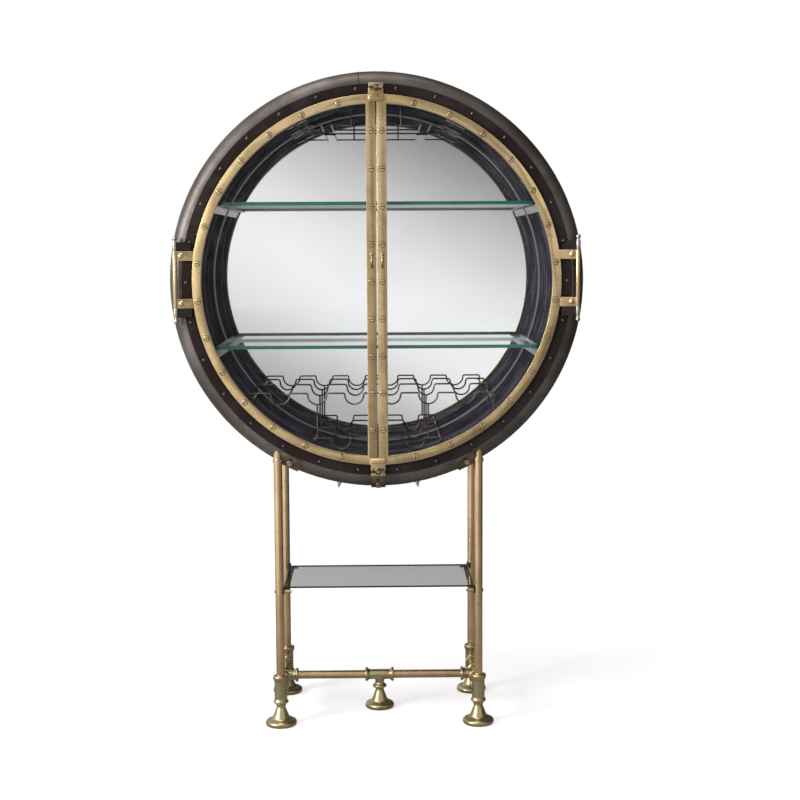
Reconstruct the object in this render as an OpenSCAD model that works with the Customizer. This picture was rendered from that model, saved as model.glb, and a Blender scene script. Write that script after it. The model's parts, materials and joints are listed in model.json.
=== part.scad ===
/* [Drum] */
// Outer radius of the drum
drum_r = 605; // [598:1:612]
// Depth of the drum from the face of its front flange to its back
case_depth = 398; // [396:1:420]
// Height of the drum's axis above the floor
axis_h = 1325; // [1290:5:1360]
// Radius that rounds the front and rear shoulders of the drum
shoulder_r = 40; // [37:1:44]
// Thickness of the sheet metal skin
skin_t = 3; // [2:0.5:4]
// Thickness of the front and rear flange rings
flange_t = 8; // [6:1:10]
// Thickness of the drum's wall, from the skin to the inside of the lining
wall_w = 90; // [88:1:91]
// Thickness of the lining
liner_t = 3; // [2:0.5:4]
// Thickness of the plywood in the hoops
hoop_t = 18; // [12:1:24]
// Number of battens between the hoops
batten_count = 12; // [8:1:16]
// Thickness of the mirror
mirror_t = 5; // [4:1:6]
// Thickness of the back panel
back_t = 12; // [9:1:15]
// Number of rivets round the front flange
rivet_count = 30; // [24:2:36]
// Radius of a flange rivet's head
rivet_r = 5.75; // [4:0.25:6]
// Number of rivet places round the middle of the lining
liner_rivet_count = 40; // [32:4:44]
// Radius of a lining rivet's head
liner_rivet_r = 4.5; // [3:0.5:5]
// Number of screws round the rear flange
rear_screw_count = 16; // [12:1:24]

/* [Doors] */
// Width of the flange that the brass ring laps over beyond the opening
ring_lap = 20; // [18:0.5:22]
// Width of the brass ring
ring_w = 26; // [24:0.5:28]
// Width of each straight stile
stile_w = 28; // [26:0.5:32]
// Gap between the two stiles
door_gap = 3; // [2:0.5:5]
// Thickness of the brass door frame
frame_t = 8; // [7:0.5:9]
// Thickness of the door glass
glass_t = 4; // [3:0.5:4]
// Screws along half the ring
ring_screws = 14; // [10:1:16]
// Screws along a stile
stile_screws = 9; // [7:2:9]
// Distance between two screws on a stile
screw_pitch = 108; // [90:1:112]
// Radius of a screw head
screw_r = 8.75; // [6:0.25:9]
// Height of the pull's middle above the drum's axis
pull_rise = 60; // [50:1:80]
// Radius of the pull's arch along the middle of its bar
pull_arch_r = 16.5; // [14:0.5:20]
// Radius of the pull's bar
pull_bar_r = 3.5; // [3:0.25:4]

/* [Hinges and latches] */
// Distance of a hinge pin inside the drum's outer radius
hinge_in = 22; // [19:0.5:25]
// Height of the hinge's middle above the drum's axis
hinge_rise = 8; // [0:1:10]
// Half the height of the window between the hinge arms
hinge_window = 55; // [48:1:58]
// Height of a hinge arm
arm_h = 27; // [22:0.5:28]
// Radius of the hinge barrel
barrel_r = 7; // [6:0.25:7.5]
// Radius of the hinge pin
pin_r = 4; // [3:0.25:4.5]
// Height of a fixed knuckle plate
knuckle_h = 26.5; // [20:0.5:28]
// Radius of the ball on each end of a pin
ball_r = 7.5; // [6:0.25:8.5]
// Distance of a latch stud outside the brass ring
latch_out = 18; // [17.5:0.5:19]
// Radius of a latch stud
stud_r = 3; // [2.5:0.25:4]
// Width of a latch dog where it laps over the doors
dog_w = 52; // [48:1:56]
// Width of a latch dog's plate at its stud
dog_neck = 43; // [40:1:44]
// Length of a latch dog's plate beyond its stud
dog_tail = 13.5; // [11:0.5:13.5]
// Length of a latch dog from its stud to its end
dog_len = 38.5; // [34:0.5:42]
// Thickness of a latch dog
dog_t = 7; // [5:0.5:8]
// Distance between the tips of a wing nut
wing_span = 42; // [36:1:46]

/* [Shelves] */
// Height of the upper shelf's middle above the drum's axis
upper_shelf_z = 227; // [215:1:240]
// Depth of the lower shelf's middle below the drum's axis
lower_shelf_z = 192; // [185:1:200]
// Thickness of the glass shelves
shelf_t = 10; // [8:1:12]
// Distance of the shelves' front edge behind the flange's face
shelf_front = 40; // [30:1:60]
// Width of a shelf rail's ledge
rail_w = 24; // [18:1:30]
// Thickness of a shelf rail
rail_t = 3; // [2:0.5:4]

/* [Racks] */
// Radius of the rack wire
wire_r = 2.5; // [2:0.1:2.6]
// Distance from one bottle cup to the next
cup_pitch = 110; // [106:1:110]
// Radius of a bottle cup along the middle of its wire
cup_r = 28; // [26:0.5:28]
// Radius of the bend where a cup's wire meets its flat
bend_r = 5; // [4:0.5:5]
// Height of the lower bottle rack above the lowest point of the lining
lower_rack_up = 49; // [49:0.5:51]
// Height of the upper bottle rack above the lower one
rack_rise = 135; // [133:1:141]
// Height of a rack's rear wire above its front wire
rear_rise = 7; // [0:0.5:10]
// Radius of the softer cups in the rear wires
rear_cup_r = 25; // [22:0.5:25]
// Radius of the bends beside the softer cups
rear_bend_r = 9; // [6:0.5:9]
// Distance of the upper rack's middle to the left of the drum's middle
rack_shift = 15; // [13:1:16]
// Distance of the racks' front wires behind the flange's face
rack_front = 72; // [50:1:90]
// Distance of the racks' rear wires behind the flange's face
rack_rear = 280; // [250:1:300]
// Distance of the stemware rack under the highest point of the lining
stem_drop = 57; // [52:1:65]
// Distance between two stemware channels
stem_pitch = 145; // [130:1:150]
// Gap between the two wires of a stemware channel
stem_gap = 30; // [24:1:34]
// Distance of the stemware channels' front ends behind the flange's face
stem_front = 60; // [50:1:70]
// Length of the stemware channels' straight wires
stem_long = 245; // [220:5:250]
// Distance from the front ends of the channels to their front supports
stem_support = 30; // [20:1:40]

/* [Stand] */
// Distance of a leg from the middle
leg_x = 296; // [290:1:302]
// Distance of the front legs behind the flange's face
leg_d = 22; // [21:0.5:24]
// Distance from a front leg to the leg behind it
leg_spacing = 328; // [320:1:328]
// Radius of the leg and stretcher tubes
leg_r = 12.5; // [11:0.5:12.5]
// Wall of the tubes
tube_wall = 2; // [1.5:0.25:3]
// Radius of a foot
foot_r = 47; // [42:0.5:47]
// Height of the stretchers' axis above the floor
stretcher_z = 104.5; // [103:0.5:106]
// Height of a leg coupling's top above the floor
coupling_top = 152; // [148:1:160]
// Height of the stand shelf's top above the floor
stand_shelf_z = 418; // [380:1:460]
// Thickness of the stand shelf's glass
stand_shelf_t = 5; // [4:0.5:8]
// Radius of the pegs under the stand shelf
peg_r = 4; // [3.5:0.25:5]
// Length of the pegs' inner ends
peg_long = 22; // [12:1:26]
// Thickness of the drum's strap brackets
strap_t = 5; // [4:0.5:6]

/* [Hidden] */
$fn = 60;
round_fn = 144;

// A running fit, two pieces side by side, a bracket off the skin, a moving piece off the next one
fit = 0.05;
beside = 0.3;
strap_clear = 0.2;
move_clear = 0.5;

// Radii and depths of the drum
liner_r = drum_r - wall_w;
core_r = liner_r - 100;
ring_r = liner_r + ring_lap;
hinge_x = drum_r - hinge_in;
latch_r = ring_r + latch_out;
flange_r = drum_r - shoulder_r + 1;
shoulder_c = drum_r - shoulder_r;
web_d = flange_t + shoulder_r;
hoop_in_r = liner_r + liner_t;
lip_w = 18;
panel_r = shoulder_c - lip_w - 1;
panel_d = case_depth - flange_t - back_t;
mirror_d = panel_d - mirror_t;
rivet_ring_r = (ring_r + flange_r) / 2 + 2.5;
rear_screw_r = 6;
rear_screw_h = 2;

// Heights of the racks from the drum's axis, and the room beside a shelf
lower_rack_z = liner_r - lower_rack_up;
upper_rack_z = lower_rack_z - rack_rise;
stem_rack_z = liner_r - stem_drop;
shelf_clear = 3;

// Depths of a door and what stands before it
door_back = -move_clear;
door_face = door_back - frame_t;
glass_face = door_face + 3;
glass_back = glass_face + glass_t;
rebate_r = ring_r - ring_w + 12;
rebate_x = door_gap / 2 + 9;
retainer_r = liner_r - 2;
retainer_w = retainer_r - ring_r + ring_w;
screw_t = 0.8;
ring_screw_r = ring_r - ring_w / 2 - 1;
hinge_d = door_back - frame_t / 2;
arm_top = hinge_window + arm_h;
knuckle_z = arm_top + 0.4;
arm_rivet_r = 8.5;
dog_back = door_face - move_clear;
dog_face = dog_back - dog_t;
nut_back = dog_face - beside;
nut_t = 16.7;
nut_face = nut_back - nut_t;

front_y = (-nut_face - case_depth - rear_screw_h) / 2;
mid_d = (2 * leg_d + leg_spacing) / 2;

// Heights of the stand
foot_h = 59;
spigot_r = 8;
spigot_h = 15;
socket_z = stretcher_z + leg_r + 3;
tee_half = 44;
tube_start = 20;
tee_r = leg_r + 3;
bead_r = 21.5;
bead_w = 9;
bore_r = leg_r + fit;
collar_r = leg_r + 2.5;
peg_z = stand_shelf_z - stand_shelf_t - 6;

function chord(r, h) = sqrt(r * r - h * h);

// A flat shape seen from the front, between two depths behind the flange's face
module slab(d0, d1) {
    translate([0, front_y + d1, axis_h]) rotate([90, 0, 0]) linear_extrude(d1 - d0) children();
}

// A profile of radius and depth turned about the drum's axis, from the right over the bottom
module turned(sweep = 360, start = 0) {
    translate([0, front_y, axis_h]) rotate([-90, 0, 0]) rotate([0, 0, start])
        rotate_extrude(angle = sweep, $fn = round_fn) children();
}

module ring(r_out, r_in, d0, d1) {
    slab(d0, d1) difference() {
        circle(r_out, $fn = round_fn);
        circle(r_in, $fn = round_fn);
    }
}

// Children on a spoke of the drum: +X points outwards at an angle from the right over the bottom
module spoke(a) {
    translate([0, front_y, axis_h]) rotate([0, a, 0]) children();
}

// Children on a shoulder's surface: +X points out of the metal
module on_shoulder(a, tilt, rear = false) {
    spoke(a) translate([0, rear ? case_depth : 0, 0]) mirror([0, rear ? 1 : 0, 0])
        translate([shoulder_c, web_d, 0]) rotate([0, 0, tilt - 90]) children();
}

module sides() {
    children();
    mirror([1, 0, 0]) children();
}

module dome(r, h) {
    ball = (r * r + h * h) / (2 * h);
    rotate_extrude() intersection() {
        translate([0, h - ball]) circle(ball);
        square([r + 1, h]);
    }
}

module hex_bolt(shank) {
    rotate([0, 90, 0]) {
        translate([0, 0, -shank]) cylinder(r = 4, h = shank);
        cylinder(r = 8.5, h = 1.5);
        translate([0, 0, 1.5]) cylinder(r = 7, h = 5, $fn = 6);
    }
}

module skin_half_2d() {
    difference() {
        union() {
            translate([shoulder_c, web_d]) intersection() {
                circle(shoulder_r, $fn = round_fn);
                translate([0, -shoulder_r]) square(shoulder_r);
            }
            translate([shoulder_c - lip_w, flange_t]) square([lip_w, shoulder_r]);
            translate([shoulder_c, web_d]) square([shoulder_r, case_depth / 2 - web_d]);
        }
        translate([shoulder_c, web_d]) circle(shoulder_r - skin_t, $fn = round_fn);
        translate([0, flange_t + skin_t]) square([shoulder_c, case_depth]);
        translate([0, web_d]) square([drum_r - skin_t, case_depth]);
    }
}

module outer_skin() color("dimgray") turned() {
    skin_half_2d();
    translate([0, case_depth]) mirror([0, 1]) skin_half_2d();
}

// The drum's outside as one solid, grown by a clearance
module drum_cutter(grow) {
    turned() {
        for (end = [0, 1]) translate([0, end * case_depth]) mirror([0, end])
            translate([shoulder_c, web_d]) intersection() {
                circle(shoulder_r + grow, $fn = round_fn);
                translate([0, -shoulder_r - grow]) square(shoulder_r + grow);
            }
        translate([core_r, flange_t - grow])
            square([shoulder_c - core_r, case_depth - 2 * flange_t + 2 * grow]);
        translate([core_r, web_d]) square([drum_r + grow - core_r, case_depth - 2 * web_d]);
    }
}

module front_flange() color([0.18, 0.15, 0.16]) difference() {
    ring(flange_r, liner_r, 0, flange_t);
    for (a = [-90, 90]) spoke(a) translate([latch_r, -1, 0]) rotate([-90, 0, 0])
        cylinder(r = stud_r + fit, h = flange_t + 2);
}

module rear_flange() color([0.18, 0.15, 0.16])
    ring(flange_r, liner_r - 15, case_depth - flange_t, case_depth);

module at_rivets() {
    for (i = [0:rivet_count - 1]) spoke(90 + (i + 0.5) * 360 / rivet_count)
        translate([rivet_ring_r, 0, 0]) rotate([90, 0, 0]) children();
}

module flange_rivets() color([0.22, 0.19, 0.2]) at_rivets() dome(rivet_r, rivet_r * 0.6);

module rear_screws() color([0.22, 0.2, 0.2])
    for (i = [0:rear_screw_count - 1])
        spoke((i + 0.5) * 360 / rear_screw_count)
            translate([(liner_r + flange_r) / 2, case_depth, 0])
                rotate([-90, 0, 0]) dome(rear_screw_r, rear_screw_h);

module front_hoop() color("burlywood") {
    ring(panel_r, hoop_in_r, flange_t, web_d);
    ring(drum_r - skin_t, hoop_in_r, web_d, web_d + hoop_t);
}

module rear_hoop() color("burlywood") {
    ring(panel_r, hoop_in_r, case_depth - web_d, panel_d);
    ring(drum_r - skin_t, hoop_in_r, case_depth - web_d - hoop_t, case_depth - web_d);
}

module spacer_battens() color("tan")
    for (i = [0:batten_count - 1])
        spoke((i + 0.5) * 360 / batten_count)
            translate([chord(drum_r - skin_t, 22) - 32, web_d + hoop_t, -22])
                cube([32, case_depth - 2 * web_d - 2 * hoop_t, 44]);

module inner_liner() color([0.24, 0.24, 0.27]) ring(hoop_in_r, liner_r, flange_t, panel_d);

// The rivets leave out the places where a shelf rail lies
module liner_rivets() color([0.3, 0.3, 0.33])
    for (i = [0:liner_rivet_count - 1]) {
        a = (i + 0.5) * 360 / liner_rivet_count;
        z = -liner_r * sin(a);
        if (abs(z - upper_shelf_z + 12) > 32 && abs(z + lower_shelf_z + 12) > 32)
            spoke(a) translate([liner_r - 0.15, case_depth / 2, 0]) rotate([0, -90, 0])
                dome(liner_rivet_r, liner_rivet_r * 0.55);
    }

module mirror_disc(r, d0, d1) slab(d0, d1) circle(r, $fn = round_fn);

module back_panel() color("saddlebrown") mirror_disc(panel_r, panel_d, case_depth - flange_t);

module mirror_glass() color("lightsteelblue") mirror_disc(liner_r - beside, mirror_d, panel_d);

module glass_shelf(z) {
    half = chord(liner_r, abs(z) + shelf_t / 2) - shelf_clear;
    translate([-half, front_y + shelf_front, axis_h + z - shelf_t / 2])
        cube([2 * half, mirror_d - 3 - shelf_front, shelf_t]);
}

module upper_glass_shelf() color([0.5, 0.7, 0.65, 0.5]) glass_shelf(upper_shelf_z);

module lower_glass_shelf() color([0.5, 0.7, 0.65, 0.5]) glass_shelf(-lower_shelf_z);

// An angle on the lining: its ledge carries the shelf, its other side follows the curve
module rail_2d(top) {
    intersection() {
        circle(liner_r, $fn = round_fn);
        union() {
            translate([chord(liner_r, top) - rail_w, top - rail_t])
                square([2 * rail_w, rail_t]);
            difference() {
                translate([liner_r / 2, top - 22]) square([liner_r, 22]);
                circle(liner_r - rail_t, $fn = round_fn);
            }
        }
    }
}

module shelf_rails() color([0.25, 0.25, 0.28])
    for (top = [upper_shelf_z - shelf_t / 2, -lower_shelf_z - shelf_t / 2])
        sides() slab(shelf_front - 15, mirror_d - 5) rail_2d(top);

// Wire bent in a plane seen from the front
module in_plane(d) {
    translate([0, front_y + d, axis_h]) rotate([90, 0, 0]) children();
}

module wire_h(x0, x1, z) {
    translate([x0, z, 0]) rotate([0, 90, 0]) cylinder(r = wire_r, h = x1 - x0);
}

module wire_arc(x, z, r, from, sweep) {
    translate([x, z, 0]) rotate([0, 0, from]) rotate_extrude(angle = sweep)
        translate([r, 0]) circle(wire_r);
}

// The end of a rack wire: a bend down and a leg that stands on the lining
module wire_foot(x, z, bend) {
    wire_arc(x, z - bend, bend, 0, 90);
    intersection() {
        translate([x + bend, z - bend, 0]) rotate([90, 0, 0])
            cylinder(r = wire_r, h = 80);
        translate([0, 0, -20]) cylinder(r = liner_r, h = 40, $fn = round_fn);
    }
}

module cup_wire(mid, cups, z, left, right, cup, bend) {
    wide = cup + bend;
    for (i = [0:cups - 1]) {
        x = mid + (i - (cups - 1) / 2) * cup_pitch;
        wire_arc(x - wide, z - bend, bend, 0, 90);
        wire_arc(x, z - bend, cup, 180, 180);
        wire_arc(x + wide, z - bend, bend, 90, 90);
        wire_h(i == 0 ? mid - left : x - cup_pitch + wide, x - wide, z);
        if (i == cups - 1) wire_h(x + wide, mid + right, z);
    }
}

module wire_feet(mid, z, half) {
    wire_foot(mid + half, z, bend_r);
    mirror([1, 0, 0]) wire_foot(half - mid, z, bend_r);
}

upper_half = 3 * cup_pitch + 24;
lower_half = 1.5 * cup_pitch + 23;

module upper_rack_front_wire() color([0.2, 0.2, 0.22]) in_plane(rack_front) {
    cup_wire(-rack_shift, 6, -upper_rack_z, upper_half, upper_half, cup_r, bend_r);
    wire_feet(-rack_shift, -upper_rack_z, upper_half);
}

// Two halves that meet end to end in the middle
module upper_rack_rear_wire() color([0.2, 0.2, 0.22]) in_plane(rack_rear) {
    inner = 1.5 * cup_pitch - beside / 2;
    outer = upper_half - 1.5 * cup_pitch;
    for (side = [-1, 1])
        cup_wire(side * 1.5 * cup_pitch - rack_shift, 3, rear_rise - upper_rack_z,
            side < 0 ? outer : inner, side < 0 ? inner : outer, rear_cup_r, rear_bend_r);
    wire_feet(-rack_shift, rear_rise - upper_rack_z, upper_half);
}

module lower_rack_front_wire() color([0.2, 0.2, 0.22]) in_plane(rack_front) {
    cup_wire(0, 3, -lower_rack_z, lower_half, lower_half, cup_r, bend_r);
    wire_feet(0, -lower_rack_z, lower_half);
}

module lower_rack_rear_wire() color([0.2, 0.2, 0.22]) in_plane(rack_rear) {
    cup_wire(0, 3, rear_rise - lower_rack_z, lower_half, lower_half, rear_cup_r, rear_bend_r);
    wire_feet(0, rear_rise - lower_rack_z, lower_half);
}

// Wires from front to rear beside the racks' legs, and posts from the upper cups to the lower rack
module rack_ties() color([0.2, 0.2, 0.22]) {
    for (tie = [[-rack_shift - upper_half, 14, upper_rack_z],
            [upper_half - rack_shift, 14, upper_rack_z],
            [-lower_half, 8, lower_rack_z], [lower_half, 8, lower_rack_z]])
        translate([tie[0] + (tie[0] > 0 ? 1 : -1) * (bend_r - 2 * wire_r),
                front_y + rack_front - 6, axis_h - tie[2] - tie[1]])
            rotate([-90, 0, 0]) cylinder(r = wire_r, h = rack_rear - rack_front + 12);
    for (x = [-rack_shift - 1.5 * cup_pitch, 1.5 * cup_pitch - rack_shift]) {
        translate([x, front_y + rack_front, axis_h - lower_rack_z + wire_r])
            cylinder(r = wire_r, h = lower_rack_z - upper_rack_z - cup_r - bend_r - 2 * wire_r);
        translate([x, front_y + rack_rear, axis_h - lower_rack_z + rear_rise + wire_r])
            cylinder(r = wire_r, h = lower_rack_z - upper_rack_z - rear_cup_r - rear_bend_r
                - 2 * wire_r);
    }
}

// Open channels for glasses: each has two wires with a bend at the rear, under a crossbar. At the
// front thin links join the channels' wires, and posts hang them from the lining between the feet
module stemware_rack() color([0.2, 0.2, 0.22]) {
    z = axis_h + stem_rack_z - 4;
    front_d = stem_front + stem_support;
    rear_d = stem_front + stem_long - 5;
    link_r = wire_r - 0.3;
    for (i = [-1:1]) translate([i * stem_pitch, front_y + stem_front, z]) {
        for (side = [-1, 1]) translate([side * stem_gap / 2, 0, 0]) rotate([-90, 0, 0])
            cylinder(r = wire_r, h = stem_long);
        translate([0, stem_long, 0]) rotate_extrude(angle = 180)
            translate([stem_gap / 2, 0]) circle(wire_r);
    }
    half = chord(liner_r - rail_t, stem_rack_z) + 1;
    translate([-half, front_y + rear_d, axis_h + stem_rack_z]) rotate([0, 90, 0])
        cylinder(r = wire_r, h = 2 * half);
    sides() {
        outer = stem_pitch + stem_gap / 2;
        translate([stem_gap / 2, front_y + front_d, z]) rotate([0, 90, 0])
            cylinder(r = link_r, h = stem_pitch - stem_gap);
        intersection() {
            translate([outer, front_y + front_d, z]) rotate([0, 90, 0])
                cylinder(r = link_r, h = liner_r - outer);
            slab(front_d - 12, front_d + 12) circle(liner_r - rail_t - beside, $fn = round_fn);
        }
        intersection() {
            translate([stem_pitch / 2, front_y + front_d, z]) cylinder(r = wire_r, h = 2 * stem_drop);
            in_plane(front_d) translate([0, 0, -10]) cylinder(r = liner_r, h = 20, $fn = round_fn);
        }
        for (d = [front_d, rear_d]) slab(d - 12, d + 12) intersection() {
            difference() {
                circle(liner_r, $fn = round_fn);
                circle(liner_r - rail_t, $fn = round_fn);
            }
            translate([0, stem_rack_z - 14]) square([liner_r, 26]);
        }
    }
}

// The upper plates are notched round a rivet of the flange
module hinge_knuckles() color([0.2, 0.18, 0.18]) difference() {
    for (x = [-1, 1]) for (up = [-1, 1])
        translate([x * hinge_x, front_y, axis_h + hinge_rise + up * (knuckle_z + knuckle_h / 2)])
            mirror([x < 0 ? 1 : 0, 0, 0]) difference() {
                union() {
                    translate([-47, -7, -knuckle_h / 2]) cube([47, 7, knuckle_h]);
                    translate([0, hinge_d, -knuckle_h / 2]) cylinder(r = barrel_r, h = knuckle_h);
                }
                translate([0, hinge_d, -knuckle_h]) cylinder(r = pin_r, h = 2 * knuckle_h);
            }
    at_rivets() translate([0, 0, -1]) cylinder(r = rivet_r + beside, h = 10);
}

module hinge_pins() color([0.2, 0.18, 0.18])
    for (x = [-hinge_x, hinge_x])
        translate([x, front_y + hinge_d, axis_h + hinge_rise]) {
            half = knuckle_z + knuckle_h;
            translate([0, 0, -half]) cylinder(r = pin_r - fit, h = 2 * half);
            for (up = [0, 1]) mirror([0, 0, up]) {
                translate([0, 0, half]) cylinder(r = 5, h = 5);
                translate([0, 0, half + 3 + ball_r]) sphere(ball_r);
            }
        }

module latch_studs() color("peru")
    for (up = [-1, 1]) translate([0, front_y, axis_h + up * latch_r]) rotate([90, 0, 0]) {
        translate([0, 0, -flange_t + 1]) cylinder(r = stud_r, h = flange_t - 1 - nut_face - 3);
        cylinder(r = 9, h = -dog_back);
    }

// A strap bent round a shoulder from a tilt off the front, and on along the drum
module strap(mid, half, tilt, long) {
    inner = shoulder_r + strap_clear;
    outer = inner + strap_t;
    turned(2 * half, mid - half) translate([shoulder_c, web_d]) difference() {
        union() {
            intersection() {
                circle(outer, $fn = round_fn);
                polygon([[0, 0], [2 * outer * sin(tilt), -2 * outer * cos(tilt)],
                    [2 * outer, -2 * outer], [2 * outer, 0]]);
            }
            square([outer, long]);
        }
        circle(inner, $fn = round_fn);
        square([inner, long]);
    }
}

module strap_hole(a, tilt, r, rear = false) {
    on_shoulder(a, tilt, rear) translate([shoulder_r - 5, 0, 0]) rotate([0, 90, 0])
        cylinder(r = r, h = 20);
}

module bottom_bracket() color([0.37, 0.33, 0.3]) difference() {
    strap(90, 2, 4, bolt_along + 20);
    strap_hole(90, 22, 4.5);
    strap_hole(90, 46, 4 + fit);
    spoke(90) translate([drum_r - 5, web_d + bolt_along, 0]) rotate([0, 90, 0])
        cylinder(r = 4 + fit, h = 20);
}

// Heights where the legs' middles meet the inside and the outside of the drum's wall
leg_top = axis_h - chord((drum_r + liner_r) / 2, leg_x);
skin_z = axis_h - chord(drum_r, leg_x);
strap_half = 3.1;
strap_a = acos(leg_x / drum_r) + strap_half;
leg_strap = [strap_a, 180 - strap_a];
bolt_along = 30;

module leg_brackets() color([0.37, 0.33, 0.3])
    for (a = leg_strap) for (rear = [false, true]) difference() {
        translate([0, rear ? 2 * front_y + case_depth : 0, 0]) mirror([0, rear ? 1 : 0, 0])
            strap(a, strap_half, 5, 26);
        strap_hole(a, 19, 5, rear);
        strap_hole(a, 36, 4 + fit, rear);
        for (x = [-leg_x, leg_x]) for (d = [leg_d, leg_d + leg_spacing])
            translate([x, front_y + d, axis_h - drum_r])
                cylinder(r = collar_r + beside, h = 200);
    }

// Hexagon bolts in the straps and cone-tipped bolts under the drum
module case_bolts() color([0.3, 0.28, 0.27]) {
    on = strap_t + strap_clear;
    on_shoulder(90, 46) translate([shoulder_r + on, 0, 0]) hex_bolt(on);
    spoke(90) translate([drum_r + on, web_d + bolt_along, 0]) hex_bolt(on);
    for (a = leg_strap) for (rear = [false, true])
        on_shoulder(a, 36, rear) translate([shoulder_r + on, 0, 0]) hex_bolt(on);
    for (a = [79, 101]) spoke(a) translate([drum_r, web_d + 12, 0]) rotate([0, 90, 0]) {
        cylinder(r = 7, h = 5);
        translate([0, 0, 5]) cylinder(r1 = 5.5, r2 = 1.5, h = 13);
    }
}

module leg(x, d) {
    difference() {
        translate([x, front_y + d, socket_z]) cylinder(r = leg_r, h = leg_top - socket_z);
        translate([x, front_y + d, socket_z - 1])
            cylinder(r = leg_r - tube_wall, h = leg_top + 2 - socket_z);
        drum_cutter(strap_clear);
        translate([x - 20, front_y + d, peg_z]) rotate([0, 90, 0]) cylinder(r = 3 + fit, h = 40);
    }
}

module front_left_leg() color("goldenrod") leg(-leg_x, leg_d);

module front_right_leg() color("goldenrod") leg(leg_x, leg_d);

module rear_left_leg() color("goldenrod") leg(-leg_x, leg_d + leg_spacing);

module rear_right_leg() color("goldenrod") leg(leg_x, leg_d + leg_spacing);

module at_legs() {
    for (x = [-leg_x, leg_x]) for (rear = [0, 1])
        translate([x, front_y + leg_d + rear * leg_spacing, 0]) mirror([0, rear, 0]) children();
}

module leg_collars() color("goldenrod") difference() {
    for (x = [-leg_x, leg_x]) for (rear = [0, 1])
        translate([x, front_y + leg_d + rear * leg_spacing, skin_z - 3.4 - 9 * rear])
            difference() {
                cylinder(r = collar_r, h = 10);
                translate([0, 0, -1]) cylinder(r = leg_r, h = 12);
            }
    drum_cutter(strap_clear);
}

// A round collar with chamfered edges along Z
module bead(r, h, c = 2) {
    rotate_extrude() polygon([[0, 0], [r - c, 0], [r, c], [r, h - c], [r - c, h], [0, h]]);
}

// One arm of a tee along X with its end collar
module tee_arm() {
    rotate([0, 90, 0]) cylinder(r = tee_r, h = tee_half);
    translate([tee_half - bead_w, 0, 0]) rotate([0, 90, 0]) bead(bead_r, bead_w);
}

module tee_bore() {
    translate([tube_start, 0, 0]) rotate([0, 90, 0]) cylinder(r = bore_r, h = tee_half);
}

module coupling() {
    difference() {
        union() {
            translate([0, 0, foot_h]) cylinder(r = 15, h = 10);
            translate([0, 0, foot_h + 8.5]) bead(22.5, 9.5);
            translate([0, 0, foot_h + 12]) cylinder(r = 19.5, h = coupling_top - foot_h - 14);
            translate([0, 0, coupling_top - 15]) bead(23, 15, 3);
            translate([0, 0, stretcher_z]) rotate([0, 0, 90]) tee_arm();
        }
        translate([0, 0, foot_h - 1]) cylinder(r = spigot_r + fit, h = spigot_h + 2);
        translate([0, 0, socket_z]) cylinder(r = bore_r, h = coupling_top);
        translate([0, 0, stretcher_z]) rotate([0, 0, 90]) tee_bore();
    }
}

module leg_couplings() color("darkkhaki") at_legs() coupling();

module foot(r) {
    rotate_extrude() polygon([[0, 0], [r - 5, 0], [r - 1.5, 2.5], [r, 7], [r - 0.5, 11],
        [r - 4, 15.5], [r - 10, 18], [28, 19.5], [25.5, 22], [24, 27], [21, 35], [17, 44],
        [14, 52], [13, foot_h], [spigot_r, foot_h], [spigot_r, foot_h + spigot_h],
        [0, foot_h + spigot_h]]);
}

module corner_feet() color("darkkhaki") at_legs() foot(foot_r);

module centre_foot() color("darkkhaki") translate([0, front_y + mid_d, 0]) foot(foot_r - 2);

module centre_tee() color("darkkhaki") translate([0, front_y + mid_d, 0]) difference() {
    union() {
        translate([0, 0, foot_h]) cylinder(r = 13.5, h = stretcher_z - foot_h);
        translate([0, 0, foot_h + 5]) bead(bead_r, bead_w);
        translate([0, 0, stretcher_z]) sides() tee_arm();
    }
    translate([0, 0, foot_h - 1]) cylinder(r = spigot_r + fit, h = spigot_h + 2);
    translate([0, 0, stretcher_z]) sides() tee_bore();
}

module side_tees() color("darkkhaki") sides()
    translate([leg_x, front_y + mid_d, stretcher_z]) difference() {
        for (a = [90, 180, 270]) rotate([0, 0, a]) tee_arm();
        for (a = [90, 180, 270]) rotate([0, 0, a]) tee_bore();
    }

module tube_x(long) {
    rotate([0, 90, 0]) difference() {
        cylinder(r = leg_r, h = long);
        translate([0, 0, -1]) cylinder(r = leg_r - tube_wall, h = long + 2);
    }
}

module stretcher_tubes() color("goldenrod") {
    at_legs() translate([0, tube_start, stretcher_z]) rotate([0, 0, 90])
        tube_x(leg_spacing / 2 - 2 * tube_start);
    sides() translate([tube_start, front_y + mid_d, stretcher_z])
        tube_x(leg_x - 2 * tube_start);
}

// Angles between the legs: the ledge carries the glass, the web is bolted to the legs
module stand_shelf_rails() color([0.2, 0.19, 0.19]) sides() {
    web_x = leg_x - leg_r - 2.5;
    difference() {
        translate([web_x, front_y + leg_d - 9, peg_z - 8])
            cube([2.5, leg_spacing + 18, stand_shelf_z + 3 - peg_z + 8]);
        for (d = [leg_d, leg_d + leg_spacing])
            translate([web_x - 1, front_y + d, peg_z]) rotate([0, 90, 0])
                cylinder(r = 3 + fit, h = 5);
    }
    translate([web_x - 12, front_y + leg_d + 16, stand_shelf_z - stand_shelf_t - 3])
        cube([12, leg_spacing - 32, 3]);
}

module stand_glass_shelf() color([0.3, 0.3, 0.3, 0.5]) {
    half = leg_x - leg_r - 2.5 - beside;
    translate([-half, front_y + leg_d + 17, stand_shelf_z - stand_shelf_t])
        cube([2 * half, leg_spacing - 34, stand_shelf_t]);
}

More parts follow.
